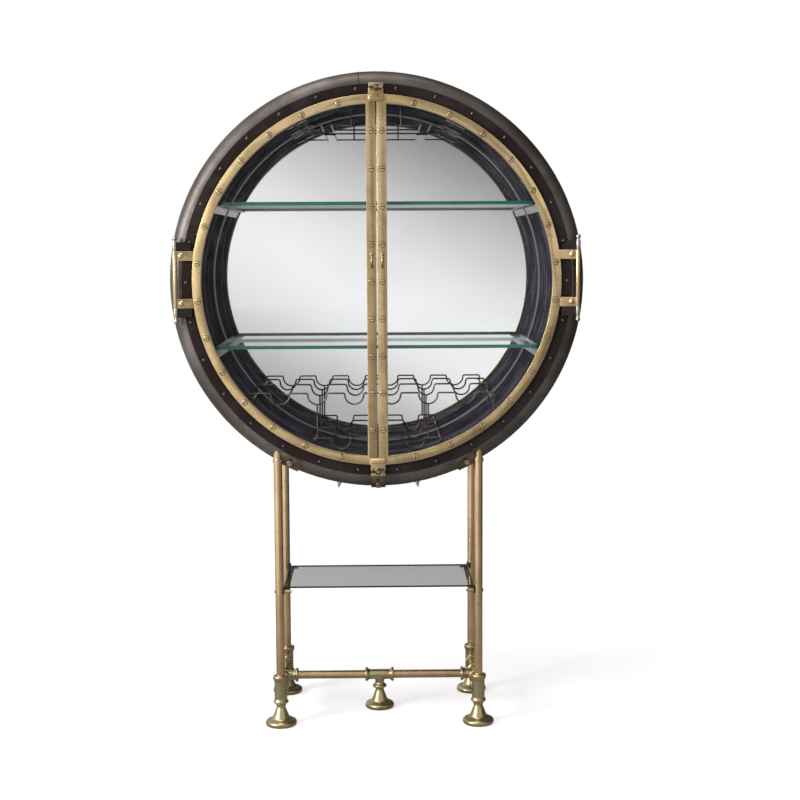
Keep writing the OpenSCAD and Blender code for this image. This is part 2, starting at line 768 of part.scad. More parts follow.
// Pegs through the legs, with a thick inner end that holds the rail's web
module shelf_bolts() color("tan") sides()
    for (d = [leg_d, leg_d + leg_spacing]) translate([leg_x, front_y + d, peg_z])
        rotate([0, 90, 0]) {
            translate([0, 0, -leg_r - 4]) cylinder(r = 3, h = 2 * leg_r + 4);
            translate([0, 0, -leg_r - 2.5 - peg_long]) cylinder(r = peg_r, h = peg_long);
            translate([0, 0, leg_r]) dome(5.5, 3);
        }

// Half of the ring and the stile as one flat frame, drawn for the right door
module half_disc(r, x) {
    intersection() {
        circle(r, $fn = round_fn);
        translate([x, -2 * r]) square([2 * r, 4 * r]);
    }
}

module door_frame() {
    slab(door_face, glass_face) difference() {
        half_disc(ring_r, door_gap / 2);
        half_disc(ring_r - ring_w, door_gap / 2 + stile_w);
    }
    slab(glass_face, door_back) difference() {
        half_disc(ring_r, door_gap / 2);
        half_disc(rebate_r, rebate_x);
    }
}

module door_glass() slab(glass_face, glass_back) half_disc(rebate_r - beside, rebate_x + beside);

module retainer() {
    slab(glass_back, door_back) difference() {
        half_disc(rebate_r, rebate_x);
        half_disc(retainer_r - retainer_w, door_gap / 2 + stile_w);
    }
    slab(door_back, flange_t / 2) difference() {
        half_disc(retainer_r, rebate_x + 5);
        half_disc(retainer_r - retainer_w, door_gap / 2 + stile_w);
    }
}

module screw_head(turn) {
    rotate([90, 0, 0]) rotate([0, 0, turn]) difference() {
        cylinder(r = screw_r, h = screw_t);
        translate([-screw_r - 1, -0.8, screw_t / 2]) cube([2 * screw_r + 2, 1.6, screw_t]);
    }
}

module door_screws() {
    for (i = [1:ring_screws]) {
        a = 90 - i * 180 / (ring_screws + 1);
        spoke(-a) translate([ring_screw_r, door_face, 0]) screw_head(0);
    }
    for (i = [0:stile_screws - 1])
        translate([door_gap / 2 + stile_w / 2, front_y + door_face,
                axis_h + (i - (stile_screws - 1) / 2) * screw_pitch]) screw_head(0);
}

module pull() {
    translate([door_gap / 2 + stile_w / 2, front_y + door_face, axis_h + pull_rise]) {
        rotate([180, -90, 0]) rotate_extrude(angle = 180)
            translate([pull_arch_r, 0]) circle(pull_bar_r);
        for (up = [-1, 1]) translate([0, 0, up * pull_arch_r]) rotate([90, 0, 0])
            cylinder(r = pull_bar_r + 2.5, h = 2);
    }
}

module hinge_strap() {
    difference() {
        union() {
            slab(door_face, door_back) difference() {
                for (up = [-1, 1]) translate([ring_r - 30, hinge_rise
                        + (up > 0 ? hinge_window : -arm_top)])
                    square([hinge_x - ring_r + 30, arm_h]);
                circle(ring_r, $fn = round_fn);
            }
            translate([hinge_x, front_y + hinge_d, axis_h + hinge_rise - arm_top])
                cylinder(r = barrel_r, h = 2 * arm_top);
        }
        translate([hinge_x, front_y + hinge_d, axis_h + hinge_rise - arm_top - 1])
            cylinder(r = pin_r, h = 2 * arm_top + 2);
    }
}

module hinge_rivets()
    for (up = [-1, 1])
        translate([hinge_x - barrel_r - arm_rivet_r - 1.5, front_y + door_face,
                axis_h + hinge_rise + up * (hinge_window + arm_h / 2)])
            rotate([90, 0, 0]) dome(arm_rivet_r, 3.5);

module right_door_frame() color("goldenrod") door_frame();

module right_door_glass() color([0.6, 0.7, 0.7, 0.3]) door_glass();

module right_retainer() color([0.12, 0.11, 0.11]) retainer();

module right_door_screws() color("tan") door_screws();

module right_pull() color("goldenrod") pull();

module right_hinge_strap() color("goldenrod") hinge_strap();

module right_hinge_rivets() color("tan") hinge_rivets();

module left_door_frame() color("goldenrod") mirror([1, 0, 0]) door_frame();

module left_door_glass() color([0.6, 0.7, 0.7, 0.3]) mirror([1, 0, 0]) door_glass();

module left_retainer() color([0.12, 0.11, 0.11]) mirror([1, 0, 0]) retainer();

module left_door_screws() color("tan") mirror([1, 0, 0]) door_screws();

module left_pull() color("goldenrod") mirror([1, 0, 0]) pull();

module left_hinge_strap() color("goldenrod") mirror([1, 0, 0]) hinge_strap();

module left_hinge_rivets() color("tan") mirror([1, 0, 0]) hinge_rivets();

// A turning plate that laps over both doors, with a raised block at its end
module dog() {
    translate([0, front_y, 0]) difference() {
        union() {
            translate([0, dog_back, 0]) rotate([90, 0, 0]) {
                linear_extrude(dog_t - 2) polygon([[-dog_neck / 2, dog_tail],
                    [dog_neck / 2, dog_tail], [dog_neck / 2, -17], [dog_w / 2, -22],
                    [dog_w / 2, -dog_len], [-dog_w / 2, -dog_len], [-dog_w / 2, -22],
                    [-dog_neck / 2, -17]]);
                cylinder(r = 10.5, h = dog_t);
                linear_extrude(dog_t) polygon([[-17, -18], [17, -18], [dog_w / 2 - 5, -23],
                    [dog_w / 2 - 5, 5 - dog_len], [5 - dog_w / 2, 5 - dog_len],
                    [5 - dog_w / 2, -23]]);
            }
        }
        translate([0, dog_back + 1, 0]) rotate([90, 0, 0])
            cylinder(r = stud_r + fit, h = dog_t + 2);
    }
}

module top_dog() color("goldenrod") translate([0, 0, axis_h + latch_r]) dog();

module bottom_dog() color("goldenrod")
    translate([0, 0, axis_h - latch_r]) rotate([0, 180, 0]) dog();

module wing_nut() {
    translate([0, front_y + nut_back, 0]) rotate([90, 0, 0]) difference() {
        union() {
            cylinder(r = 10, h = 3);
            translate([0, 0, 3]) cylinder(r1 = 9.5, r2 = 6.5, h = 8);
            for (side = [0, 1]) mirror([side, 0, 0]) rotate([90, 0, 0])
                translate([0, 0, -2.75]) linear_extrude(5.5)
                    polygon([[5, 2], [11, 2.5], [wing_span / 2 - 1, 9], [wing_span / 2, nut_t],
                        [wing_span / 2 - 6, nut_t], [6, 9]]);
        }
        translate([0, 0, -1]) cylinder(r = stud_r + fit, h = nut_t + 2);
    }
}

module top_wing_nut() color([0.25, 0.23, 0.22]) translate([0, 0, axis_h + latch_r]) wing_nut();

module bottom_wing_nut() color([0.25, 0.23, 0.22]) translate([0, 0, axis_h - latch_r]) wing_nut();

outer_skin();
front_flange();
rear_flange();
flange_rivets();
rear_screws();
front_hoop();
rear_hoop();
spacer_battens();
inner_liner();
liner_rivets();
mirror_glass();  // mirror
back_panel();
upper_glass_shelf();
lower_glass_shelf();
shelf_rails();
stemware_rack();
upper_rack_front_wire();
upper_rack_rear_wire();
lower_rack_front_wire();
lower_rack_rear_wire();
rack_ties();
hinge_knuckles();
hinge_pins();
latch_studs();
bottom_bracket();
leg_brackets();
case_bolts();
front_left_leg();
front_right_leg();
rear_left_leg();
rear_right_leg();
leg_collars();
leg_couplings();
corner_feet();
centre_foot();
centre_tee();
side_tees();
stretcher_tubes();
stand_shelf_rails();
stand_glass_shelf();
shelf_bolts();
left_door_frame();
left_door_glass();
left_retainer();
left_door_screws();
left_pull();
left_hinge_strap();
left_hinge_rivets();
right_door_frame();
right_door_glass();
right_retainer();
right_door_screws();
right_pull();
right_hinge_strap();
right_hinge_rivets();
top_dog();
bottom_dog();
top_wing_nut();
bottom_wing_nut();
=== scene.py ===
import json
import math

import bpy
from mathutils import Matrix, Vector


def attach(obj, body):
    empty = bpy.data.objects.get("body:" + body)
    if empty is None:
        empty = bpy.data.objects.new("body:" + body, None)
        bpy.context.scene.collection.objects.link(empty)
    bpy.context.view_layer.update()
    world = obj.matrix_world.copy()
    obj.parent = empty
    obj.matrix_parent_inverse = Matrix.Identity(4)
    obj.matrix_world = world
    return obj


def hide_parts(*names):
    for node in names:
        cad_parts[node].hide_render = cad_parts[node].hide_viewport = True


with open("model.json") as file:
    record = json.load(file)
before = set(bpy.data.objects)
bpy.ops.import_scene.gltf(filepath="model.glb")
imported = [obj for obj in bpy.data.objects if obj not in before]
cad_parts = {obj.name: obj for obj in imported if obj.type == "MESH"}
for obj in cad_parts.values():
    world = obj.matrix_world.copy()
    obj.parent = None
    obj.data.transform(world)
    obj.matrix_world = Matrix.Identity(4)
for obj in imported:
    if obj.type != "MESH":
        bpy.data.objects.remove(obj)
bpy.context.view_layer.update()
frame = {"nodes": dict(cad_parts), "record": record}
nodes = frame["nodes"]
frontY = -183.5  # the flange's face in mm, from which depths are counted back
drumZ = 1325.0  # height of the drum's axis
print("frame loaded")


class Value:  # a socket that takes part in Python expressions
    def __init__(self, made, socket):
        self.made, self.socket = made, socket

    def math(self, operation, *others):
        return self.made.node("Math", {"operation": operation}, [self, *others])

    def __add__(self, other):
        return self.math("ADD", other)

    def __sub__(self, other):
        return self.math("SUBTRACT", other)

    def __mul__(self, other):
        return self.math("MULTIPLY", other)

    def __pow__(self, other):
        return self.math("POWER", other)

    def __neg__(self):
        return self.math("MULTIPLY", -1.0)

    def __abs__(self):
        return self.math("ABSOLUTE")

    def __radd__(self, other):
        return self.math("ADD", other)

    def __rmul__(self, other):
        return self.math("MULTIPLY", other)

    def __rsub__(self, other):
        return self.made.node("Math", {"operation": "SUBTRACT"}, [other, self])


class Finish:  # one material or the world, with its node tree
    def __init__(self, owner):
        owner.use_nodes = True
        self.owner, self.tree = owner, owner.node_tree
        self.tree.nodes.clear()

    def node(self, kind, settings=None, values=(), out=0):
        made = self.tree.nodes.new("ShaderNode" + kind)
        for name, value in (settings or {}).items():
            setattr(made, name, value)
        pairs = values.items() if isinstance(values, dict) else enumerate(values)
        for key, value in pairs:
            socket = made.inputs[key]
            if isinstance(value, Value):
                self.tree.links.new(value.socket, socket)
            elif socket.type == "RGBA" and len(value) == 3:
                socket.default_value = (*value, 1)
            else:
                socket.default_value = value
        return Value(self, made.outputs[out]) if made.outputs else None

    def place(self, coordinate="Object"):
        return self.node("TexCoord", out=coordinate)

    def scaled(self, where, scale, turn=(0, 0, 0)):
        return self.node("Mapping", {}, {"Vector": where, "Scale": scale, "Rotation": turn})

    def noise(self, where, scale, detail, rough, distortion=0.0):
        return self.node("TexNoise", {}, {"Vector": where, "Scale": scale, "Detail": detail,
                                          "Roughness": rough, "Distortion": distortion})

    def ramp(self, value, low, high):  # 0 at low, 1 at high, smooth between
        return self.node("MapRange", {"interpolation_type": "SMOOTHSTEP"},
                         {"Value": value, "From Min": low, "From Max": high})

    def mix(self, factor, first, second):
        made = self.tree.nodes.new("ShaderNodeMix")
        made.data_type = "RGBA"
        for index, value in ((0, factor), (6, first), (7, second)):
            if isinstance(value, Value):
                self.tree.links.new(value.socket, made.inputs[index])
            elif index == 0:
                made.inputs[index].default_value = value
            else:
                made.inputs[index].default_value = (*value, 1)
        return Value(self, made.outputs[2])

    def parts(self, vector):
        made = self.tree.nodes.new("ShaderNodeSeparateXYZ")
        self.tree.links.new(vector.socket, made.inputs[0])
        return [Value(self, out) for out in made.outputs]

    def bump(self, height, strength, distance, under=None):
        values = {"Height": height, "Strength": strength, "Distance": distance}
        if under:
            values["Normal"] = under
        return self.node("Bump", {}, values)

    def surface(self, **values):
        named = {name.replace("_", " "): value for name, value in values.items()}
        shader = self.node("BsdfPrincipled", {}, named)
        self.node("OutputMaterial", {}, {"Surface": shader})
        return self.owner


def newFinish(name):
    return Finish(bpy.data.materials.new(name))


def edgeWear(made, size):  # 1 on an edge, 0 at this distance from it
    eased = made.node("Bevel", {"samples": 6}, {"Radius": size})
    plain = made.node("NewGeometry", out="Normal")
    dot = made.node("VectorMath", {"operation": "DOT_PRODUCT"}, [eased, plain], out="Value")
    return made.ramp(1 - dot, 0.03, 0.22)


def crevices(made, reach):  # 1 in the open, less in corners of the piece itself
    return made.node("AmbientOcclusion", {"samples": 6, "only_local": True},
                     {"Distance": reach}, out="AO")


brassLook = {  # rings, straps and stiles
    "light": (0.76, 0.57, 0.31),
    "deep": (0.45, 0.305, 0.14),
    "rose": (0.66, 0.455, 0.285),
    "olive": (0.63, 0.51, 0.24),
    "edge": (0.88, 0.73, 0.50),
    "stain": (0.17, 0.10, 0.04),
    "roughness": 0.27,
    "brushDeep": 0.00003,  # in metres
}

tubeLook = {  # the browner brass of the stand
    "light": (0.86, 0.62, 0.36),
    "deep": (0.60, 0.40, 0.205),
    "rose": (0.82, 0.54, 0.34),
    "olive": (0.74, 0.58, 0.30),
    "stain": (0.22, 0.12, 0.05),
    "roughness": 0.25,
    "brushDeep": 0.00001,
}


def satinBrass(name, look):
    made = newFinish(name)
    where = made.place()
    cloud = made.noise(where, 7.0, 5.0, 0.62, 0.5)
    hue = made.noise(made.scaled(where, (1, 1, 1), (0.4, 0.2, 0.9)), 5.0, 3.0, 0.6)
    fine = made.noise(where, 60.0, 4.0, 0.6)
    brush = made.noise(made.scaled(where, (6, 6, 160)), 6.0, 3.0, 0.6)
    # darker, stained and rougher in the piece's own corners
    cornerDark = made.ramp(1 - crevices(made, 0.006), 0.25, 0.8) * 0.8
    cast = made.mix(made.ramp(hue, 0.38, 0.62), look["rose"], look["olive"])
    tone = made.mix(0.45, look["light"], cast)
    tone = made.mix(made.ramp(cloud, 0.36, 0.72) * 0.85, tone, look["deep"])
    tone = made.mix(made.ramp(fine, 0.52, 0.78) * 0.25, tone, look["stain"])
    if "edge" in look:
        tone = made.mix(edgeWear(made, 0.0015) * 0.5, tone, look["edge"])
    tone = made.mix(cornerDark, tone, look["stain"])
    rough = look["roughness"] + (fine - 0.5) * 0.14 + (brush - 0.5) * 0.12 + cornerDark * 0.2
    bumpy = made.bump(brush, 0.5, look["brushDeep"], made.bump(cloud, 0.2, 0.0004))
    return made.surface(Base_Color=tone, Metallic=1.0, Roughness=rough, Normal=bumpy)


def castBrass(name, look):
    made = newFinish(name)
    where = made.place()
    cloud = made.noise(where, 11.0, 5.0, 0.6)
    pits = made.noise(where, 260.0, 3.0, 0.6)
    # darker, stained and rougher in the piece's own corners
    cornerDark = made.ramp(1 - crevices(made, 0.012), 0.2, 0.75) * 0.75
    tone = made.mix(made.ramp(cloud, 0.3, 0.7), look["light"], look["deep"])
    tone = made.mix(cornerDark, tone, look["stain"])
    rough = look["roughness"] + (cloud - 0.5) * 0.2 + cornerDark * 0.15
    bumpy = made.bump(pits, 0.35, 0.0002, made.bump(cloud, 0.3, 0.0012))
    return made.surface(Base_Color=tone, Metallic=1.0, Roughness=rough, Normal=bumpy)


sheetLook = {
    "light": (0.205, 0.182, 0.166),
    "deep": (0.10, 0.086, 0.076),
    "streak": (0.045, 0.037, 0.033),
}


def bronzeSheet(name, look, shadeDim=1.0):
    made = newFinish(name)
    where = made.place()
    cloud = made.noise(where, 4.5, 6.0, 0.62, 0.4)
    streak = made.noise(made.scaled(where, (1, 9, 1)), 12.0, 5.0, 0.65)
    fine = made.noise(where, 140.0, 4.0, 0.6)
    # shadeDim darkens the colours, a painted shade where it is below 1
    light, deep = (tuple(part * shadeDim for part in look[shade]) for shade in ("light", "deep"))
    tone = made.mix(made.ramp(cloud, 0.3, 0.72), deep, light)
    tone = made.mix(made.ramp(streak, 0.5, 0.8) * 0.5, tone, look["streak"])
    rough = 0.5 + (streak - 0.5) * 0.3 + (fine - 0.5) * 0.2
    bumpy = made.bump(fine, 0.45, 0.0003, made.bump(cloud, 0.4, 0.002))
    return made.surface(Base_Color=tone, Metallic=0.88, Roughness=rough, Normal=bumpy)


def darkIron(name, light, deep, rough, metal, blotch=9.0, gloss=0.5, shadowReach=0.0):
    made = newFinish(name)
    where = made.place()
    cloud = made.noise(where, blotch, 6.0, 0.65, 0.6)
    fine = made.noise(where, 110.0, 4.0, 0.6)
    tone = made.mix(made.ramp(cloud, 0.35, 0.7), deep, light)
    if shadowReach:  # painted shadow: darkens within this distance of what stands on the face
        near = made.node("AmbientOcclusion", {"samples": 8}, {"Distance": shadowReach}, out="AO")
        tone = made.mix(made.ramp(1 - near, 0.08, 0.4) * 0.85, tone, (0.004, 0.003, 0.003))
    finish = rough + (cloud - 0.5) * 0.35 + (fine - 0.5) * 0.15
    bumpy = made.bump(fine, 0.35, 0.0002, made.bump(cloud, 0.3, 0.001))
    return made.surface(Base_Color=tone, Metallic=metal, Roughness=finish, Normal=bumpy,
                        Specular_IOR_Level=gloss)


knuckleLook = {
    "eye": 0.5775,  # in metres from the middle, where the plate ends and the eye begins
    "light": (0.036, 0.026, 0.026),
    "deep": (0.018, 0.012, 0.011),
    "bare": (0.46, 0.43, 0.39),
}


def knuckleIron(name, look):  # black plates with eyes of bare steel
    made = newFinish(name)
    where = made.place()
    cloud = made.noise(where, 14.0, 5.0, 0.6)
    bare = made.ramp(abs(made.parts(where)[0]), look["eye"], look["eye"] + 0.001)
    tone = made.mix(cloud, look["deep"], look["light"])
    tone = made.mix(bare, tone, look["bare"])
    rough = 0.45 + (cloud - 0.5) * 0.3 - bare * 0.12
    return made.surface(Base_Color=tone, Metallic=0.2 + bare * 0.7, Roughness=rough,
                        Normal=made.bump(cloud, 0.3, 0.001), Specular_IOR_Level=0.2)


def sprayedLining(name):  # matt black with painted reflection streaks that run round the drum, lighter and glossier there
    made = newFinish(name)
    where = made.place()
    cloud = made.noise(where, 7.0, 6.0, 0.65, 0.6)
    fine = made.noise(where, 90.0, 4.0, 0.6)
    streakNoise = made.noise(made.scaled(where, (1, 18, 1)), 2.0, 4.0, 0.6)
    sheenStreaks = made.ramp(streakNoise, 0.46, 0.70) * (0.3 + made.ramp(cloud, 0.4, 0.65) * 0.7)
    tone = made.mix(made.ramp(cloud, 0.35, 0.7), (0.028, 0.025, 0.036), (0.088, 0.079, 0.108))
    # painted reflection: the streaks lighten the lining's colour
    tone = made.mix(sheenStreaks, tone, (0.14, 0.132, 0.155))
    finish = 0.45 + (cloud - 0.5) * 0.3 + (fine - 0.5) * 0.15 - sheenStreaks * 0.2
    bumpy = made.bump(fine, 0.3, 0.0002, made.bump(cloud, 0.4, 0.0015))
    return made.surface(Base_Color=tone, Metallic=sheenStreaks * 0.5, Roughness=finish, Normal=bumpy,
                        Specular_IOR_Level=0.0)


def plywood(name):
    made = newFinish(name)
    where = made.place()
    grain = made.noise(made.scaled(where, (2, 30, 2)), 9.0, 5.0, 0.6)
    tone = made.mix(grain, (0.42, 0.27, 0.15), (0.55, 0.39, 0.23))
    return made.surface(Base_Color=tone, Roughness=0.6 + grain * 0.15,
                        Normal=made.bump(grain, 0.3, 0.0004))


def silvered(name, edge):  # silver to this far off the drum's axis, then its ground edge
    made = newFinish(name)
    where = made.place()
    cloud = made.noise(where, 3.0, 3.0, 0.5)
    side, _, up = made.parts(where)
    rise = up - drumZ / 1000
    reach = (side * side + rise * rise) ** 0.5
    ground = made.ramp(reach, edge, edge + 0.002)
    tone = made.mix(cloud, (0.93, 0.93, 0.935), (0.90, 0.91, 0.92))
    tone = made.mix(ground, tone, (0.52, 0.51, 0.47))
    return made.surface(Base_Color=tone, Metallic=1 - ground,
                        Roughness=0.015 + cloud * 0.01 + ground * 0.4)


def clearGlass(name, tint, body):
    made = newFinish(name)
    rim = made.node("LayerWeight", {}, {"Blend": 0.3}, out="Facing")
    smear = made.noise(made.place(), 5.0, 3.0, 0.5)
    alpha = body + rim * 0.3 + made.ramp(smear, 0.4, 0.8) * 0.012
    return made.surface(Base_Color=tint, Alpha=alpha, Roughness=0.02, Specular_IOR_Level=0.5)


def shelfGlass(name, edge, face, body, glare, rear=None):  # rear: tint of its far edge, painted pale as a painted highlight
    made = newFinish(name)
    up = abs(made.parts(made.node("NewGeometry", out="Normal"))[2])
    onEdge = made.ramp(1 - up, 0.3, 0.6)
    streak = made.noise(made.scaled(made.place(), (3, 3, 90)), 5.0, 3.0, 0.5)
    side = made.mix(streak, edge, tuple(part * 0.5 for part in edge))
    # painted highlight: the far edge pale instead of teal
    if rear:
        far = made.ramp(made.parts(made.place())[1], -0.1, 0.1)
        side = made.mix(far, side, rear)
    tone = made.mix(onEdge, face, side)
    rim = made.node("LayerWeight", {}, {"Blend": 0.5}, out="Facing")
    alpha = (body + rim ** 6.0 * glare + onEdge).math("MINIMUM", 1.0)
    return made.surface(Base_Color=tone, Alpha=alpha, Roughness=0.03, Specular_IOR_Level=0.6)


antiqueLook = {
    "light": (0.66, 0.555, 0.33),
    "deep": (0.45, 0.36, 0.185),
    "stain": (0.10, 0.07, 0.035),
    "roughness": 0.33,
}

finishes = {
    "polished_brass": satinBrass("satinBrass", brassLook),
    "antique_brass": castBrass("antiqueBrass", antiqueLook),
    "skin": bronzeSheet("bronzeSheet", sheetLook),
    # the flange gets a painted shadow round the rivets and other pieces on its face
    "flange_iron": darkIron("blackFlange", (0.036, 0.025, 0.025), (0.019, 0.012, 0.011),
                            0.45, 0.3, gloss=0.15, shadowReach=0.014),
    "liner_iron": sprayedLining("sprayedLining"),
    "wire_steel": darkIron("wireSteel", (0.30, 0.25, 0.20), (0.11, 0.092, 0.078), 0.35, 0.9, 20),
    "dark_steel": darkIron("darkSteel", (0.16, 0.14, 0.12), (0.06, 0.05, 0.045), 0.4, 0.8, 20),
    "plywood": plywood("plywood"),
    "mirror_silver": silvered("silveredMirror", 0.508),
    # the shelf glass's pale far edge is a painted highlight
    "shelf_glass": shelfGlass("shelfGlass", (0.012, 0.20, 0.165), (0.88, 0.98, 0.95),
                              0.03, 0.09, rear=(0.80, 0.96, 0.91)),
    "door_glass": clearGlass("doorGlass", (0.05, 0.07, 0.065), 0.015),
    "smoked_glass": shelfGlass("smokedGlass", (0.01, 0.016, 0.013), (0.035, 0.034, 0.034),
                               0.37, 0.3),
}

tubeBrass = satinBrass("tubeBrass", tubeLook)
bracketBronze = darkIron("bracketBronze", (0.26, 0.205, 0.14), (0.11, 0.085, 0.06), 0.4, 0.85, 14)
paleSteel = darkIron("paleSteel", (0.78, 0.72, 0.60), (0.50, 0.46, 0.40), 0.3, 1.0, 30)
ownFinish = {  # pieces that differ from their slot's finish
    "front_left_leg": tubeBrass, "front_right_leg": tubeBrass, "rear_left_leg": tubeBrass,
    "rear_right_leg": tubeBrass, "stretcher_tubes": tubeBrass, "leg_collars": tubeBrass,
    "flange_rivets": darkIron("rivetIron", (0.016, 0.014, 0.014), (0.008, 0.007, 0.007),
                              0.2, 0.0, 20, gloss=0.9),
    "bottom_bracket": bracketBronze, "leg_brackets": bracketBronze,
    "case_bolts": paleSteel, "hinge_pins": paleSteel,
    "hinge_knuckles": knuckleIron("knuckleIron", knuckleLook),
    "left_retainer": finishes["antique_brass"], "right_retainer": finishes["antique_brass"],
    "shelf_rails": darkIron("brightRail", (0.42, 0.41, 0.40), (0.22, 0.21, 0.21), 0.3, 1.0, 14),
}
for part in frame["record"]["subparts"]:
    piece = nodes[part["node"]]
    finish = ownFinish.get(part["node"], finishes[part["material_slot"]])
    piece.data.materials.clear()
    piece.data.materials.append(finish)
print("materials on the nodes")


def mm(*values):
    return tuple(value / 1000 for value in values)


def deselect():
    if bpy.context.object and bpy.context.object.mode != "OBJECT":
        bpy.ops.object.mode_set(mode="OBJECT")
    bpy.ops.object.select_all(action="DESELECT")


def take(*pieces):  # selects these pieces, the first one active
    deselect()
    for piece in pieces:
        piece.select_set(True)
    bpy.context.view_layer.objects.active = pieces[0]


def change(piece, kind, **settings):
    take(piece)
    modifier = piece.modifiers.new(kind.lower(), kind)
    for name, value in settings.items():
        setattr(modifier, name, value)
    bpy.ops.object.modifier_apply(modifier=modifier.name)


def settle(piece):
    take(piece)
    bpy.ops.object.transform_apply(location=True, rotation=True, scale=True)


def copied(piece, place=(0, 0, 0), turn=(0, 0, 0)):
    twin = piece.copy()
    twin.data = piece.data.copy()
    bpy.context.collection.objects.link(twin)
    twin.location, twin.rotation_euler = place, turn
    settle(twin)
    return twin


def joined(pieces):
    take(*pieces)
    if len(pieces) > 1:
        bpy.ops.object.join()
    return bpy.context.object


def finished(piece, name, body, slot, *replaced, angle=35, finish=None):
    settle(piece)
    bpy.ops.object.shade_smooth_by_angle(angle=math.radians(angle))
    piece.name = piece.data.name = name
    if not piece.data.materials:
        piece.data.materials.append(finish or finishes[slot])
    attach(piece, body)
    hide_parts(*replaced)


def spun(outline, steps):  # a solid turned about Z from (radius, height) in mm
    deselect()
    bpy.ops.mesh.primitive_plane_add(size=0.01)
    piece = bpy.context.object
    bpy.ops.object.mode_set(mode="EDIT")
    bpy.ops.mesh.merge(type="CENTER")
    bpy.ops.transform.translate(value=mm(outline[0][0], 0, outline[0][1]))
    for (r, h), (nextR, nextH) in zip(outline, outline[1:]):
        bpy.ops.mesh.extrude_region_move(
            TRANSFORM_OT_translate={"value": mm(nextR - r, 0, nextH - h)})
    bpy.ops.mesh.select_all(action="SELECT")
    bpy.ops.mesh.spin(steps=steps, angle=2 * math.pi, center=(0, 0, 0), axis=(0, 0, 1))
    bpy.ops.mesh.select_all(action="SELECT")
    bpy.ops.mesh.remove_doubles(threshold=0.000001)
    bpy.ops.mesh.normals_make_consistent(inside=False)
    bpy.ops.object.mode_set(mode="OBJECT")
    return piece


feet = {
    "outline": [(0, 0), (38, 0), (43, 0.6), (46.2, 3.5), (47.2, 8.5), (46, 13.5), (42, 17),
                (36, 18.8), (30.5, 20), (27, 22.5), (24.2, 28), (21, 36), (17.5, 45), (14.6, 52),
                (13.4, 56), (13.2, 58), (13.2, 59), (12, 59), (8, 59), (8, 60), (8, 73), (0, 74)],
    "legX": 296, "frontD": 22, "rearD": 350, "middleD": 186,
    "middleScale": 0.957,  # the middle foot is a little slimmer
}


def makeFeet():
    foot = spun(feet["outline"], 32)
    change(foot, "SUBSURF", levels=2, render_levels=2)
    spots = [(x, d) for x in (-feet["legX"], feet["legX"]) for d in (feet["frontD"], feet["rearD"])]
    corners = [copied(foot, mm(x, frontY + d, 0)) for x, d in spots]
    finished(joined(corners), "cast_feet", "case", "antique_brass", "corner_feet", angle=60)
    foot.scale = (feet["middleScale"], feet["middleScale"], 1)
    foot.location = mm(0, frontY + feet["middleD"], 0)
    finished(foot, "middle_cast_foot", "case", "antique_brass", "centre_foot", angle=60)


tees = {
    "sleeve": [(0, 59), (14, 59), (15.2, 60.5), (15.2, 65.5), (16.2, 67.4), (20.5, 68.2),
               (22.8, 70.5), (22.8, 74), (21, 76.6), (19.3, 79), (19, 83), (19, 131),
               (19.8, 136), (21.8, 139), (23.2, 143), (23.2, 149), (21.8, 151.6), (19, 152),
               (12.6, 152), (12.6, 120), (0, 120)],
    "drop": [(0, 59), (12.6, 59), (12.9, 62), (14, 64), (19.6, 64.6), (21.4, 66.5), (21.4, 70.5),
             (19.5, 73), (15.4, 75), (13.6, 79), (13.8, 86), (15.4, 93), (15.4, 100), (0, 101)],
    "arm": [(0, 0), (15.4, 0), (15.4, 30), (16.4, 33.6), (20, 36), (21.5, 38), (21.5, 42.4),
            (20.4, 44), (12.6, 44), (12.6, 20), (0, 20)],
    "armZ": 104.5, "voxel": 1.3,
}


def makeTees():
    quarter = math.pi / 2
    sleeve, drop, arm = (spun(tees[part], 40) for part in ("sleeve", "drop", "arm"))

    def casting(trunk, turns, name, replaced, spots):  # arms and trunk melted into one
        parts = [copied(arm, mm(0, 0, tees["armZ"]), turn) for turn in turns]
        if trunk:
            parts.append(copied(trunk))
        piece = joined(parts)
        change(piece, "REMESH", mode="VOXEL", voxel_size=tees["voxel"] / 1000)
        change(piece, "SMOOTH", factor=0.5, iterations=3)
        many = [copied(piece, mm(x, frontY + d, 0), (0, 0, turn)) for x, d, turn in spots]
        bpy.data.objects.remove(piece)
        finished(joined(many), name, "case", "antique_brass", replaced, angle=180)

    x, front, rear, middle = (feet[k] for k in ("legX", "frontD", "rearD", "middleD"))
    back = (-quarter, 0, 0)
    casting(sleeve, [back], "cast_leg_tees", "leg_couplings",
            [(-x, front, 0), (x, front, 0), (-x, rear, math.pi), (x, rear, math.pi)])
    casting(drop, [(0, quarter, 0), (0, -quarter, 0)], "cast_middle_tee", "centre_tee",
            [(0, middle, 0)])
    casting(None, [back, (quarter, 0, 0), (0, quarter, 0)], "cast_side_tees", "side_tees",
            [(-x, middle, 0), (x, middle, math.pi)])
    for part in (sleeve, drop, arm):
        bpy.data.objects.remove(part)


def bevelled(node, body, width):  # a copy of the CAD node with its edges eased
    piece = nodes[node].copy()
    piece.data = nodes[node].data.copy()
    for key in list(piece.keys()):
        del piece[key]
    piece.parent = None
    bpy.context.collection.objects.link(piece)
    take(piece)
    bpy.ops.object.mode_set(mode="EDIT")
    bpy.ops.mesh.select_all(action="SELECT")
    bpy.ops.mesh.remove_doubles(threshold=0.00002)
    bpy.ops.mesh.dissolve_limited(angle_limit=math.radians(0.5))
    bpy.ops.object.mode_set(mode="OBJECT")
    change(piece, "BEVEL", width=width / 1000, segments=2, limit_method="ANGLE",
           angle_limit=math.radians(30))
    subparts = frame["record"]["subparts"]
    slot = next(part["material_slot"] for part in subparts if part["node"] == node)
    finished(piece, node + "_eased", body, slot, node)


